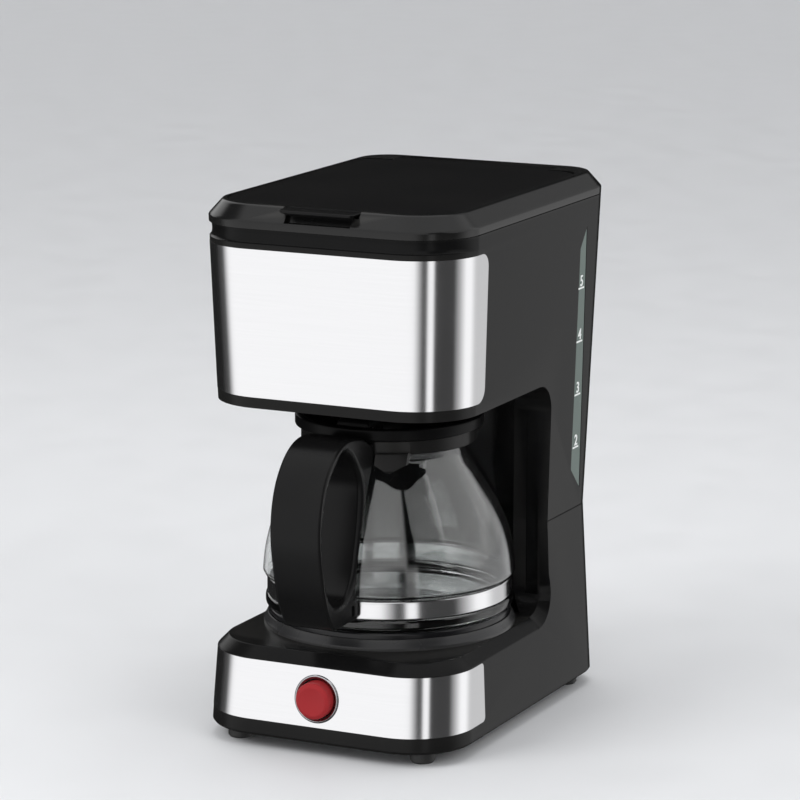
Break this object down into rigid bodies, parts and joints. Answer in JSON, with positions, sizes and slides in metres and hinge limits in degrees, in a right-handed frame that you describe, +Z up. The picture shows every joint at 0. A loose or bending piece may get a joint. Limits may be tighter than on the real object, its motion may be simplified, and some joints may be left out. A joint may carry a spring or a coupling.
{
  "type": "drip coffee maker",
  "caption": "Upright drip coffee maker: boxy head over an open bay with a glass carafe on a warming plate, steel bands, push button and hinged tank lid.",
  "frame": {"origin": "on the resting plane, below the middle of the outline", "axes": "+Z up, the front with the button faces -Y, +X to the right of a person facing the front"},
  "size_m": [0.142, 0.2226, 0.268],
  "materials": {
    "black_abs": "gloss",
    "rim_abs": "gloss",
    "lid_abs": "satin",
    "steel": "polished",
    "chrome": "polished",
    "red_button": "gloss",
    "dark_plastic": "matt",
    "rubber": "matt",
    "nonstick": "satin",
    "ring_plastic": "satin",
    "aluminium": "cast",
    "zinc": "plated",
    "brass": "plain",
    "silicone": "satin",
    "tank_clear": "clear",
    "window_clear": "clear",
    "mark_ink": "matt",
    "mesh_nylon": "woven",
    "nylon_white": "satin",
    "seal_red": "satin",
    "glass": "clear",
    "carafe_abs": "satin"
  },
  "bodies": {
    "root": {"base_housing": "black_abs", "upper_housing": "black_abs", "top_frame": "rim_abs", "base_cover": "dark_plastic", "feet": "rubber", "base_screws": "zinc", "base_band": "steel", "head_band": "steel", "switch_bezel": "chrome", "switch_body": "dark_plastic", "switch_spring": "zinc", "cord_inlet": "rubber", "power_leads": "nylon_white", "warming_plate": "nonstick", "plate_ring": "ring_plastic", "heating_element": "aluminium", "heater_clamp": "zinc", "clamp_screws": "zinc", "thermostat": "nylon_white", "thermal_fuse": "brass", "water_tank": "tank_clear", "tank_grommet": "rubber", "check_valve": "nylon_white", "inlet_hose": "silicone", "riser_hose": "silicone", "hose_clips": "zinc", "level_window": "window_clear", "level_marks": "mark_ink", "spray_head": "dark_plastic", "filter_basket": "dark_plastic", "mesh_filter": "mesh_nylon", "valve_spring": "zinc", "hinge_pins": "zinc"},
    "lid": {"lid": "lid_abs", "lid_liner": "dark_plastic"},
    "carafe": {"carafe_glass": "glass", "carafe_collar": "carafe_abs", "carafe_handle": "carafe_abs", "carafe_band": "steel", "carafe_lid": "carafe_abs", "carafe_lid_pin": "zinc", "handle_screws": "zinc"},
    "button": {"switch_button": "red_button"},
    "valve": {"drip_valve": "nylon_white", "valve_seal": "seal_red"}
  },
  "joints": [
    {"name": "lid_hinge", "type": "hinge", "parent": "root", "child": "lid", "pos_m": [0, 0.0957, 0.2623], "axis": [-1, 0, 0], "range_deg": [0, 95]},
    {"name": "carafe_slide", "type": "slide", "parent": "root", "child": "carafe", "axis": [0, -1, 0], "range_m": [0, 0.2]},
    {"name": "button_press", "type": "slide", "parent": "root", "child": "button", "axis": [0, 1, 0], "range_m": [0, 0.003], "stiffness_N_per_m": 300, "springref_m": -0.002, "deforming": ["switch_spring"]},
    {"name": "valve_lift", "type": "slide", "parent": "root", "child": "valve", "axis": [0, 0, 1], "range_m": [0, 0.003], "stiffness_N_per_m": 80, "springref_m": -0.003, "deforming": ["valve_spring"]}
  ]
}
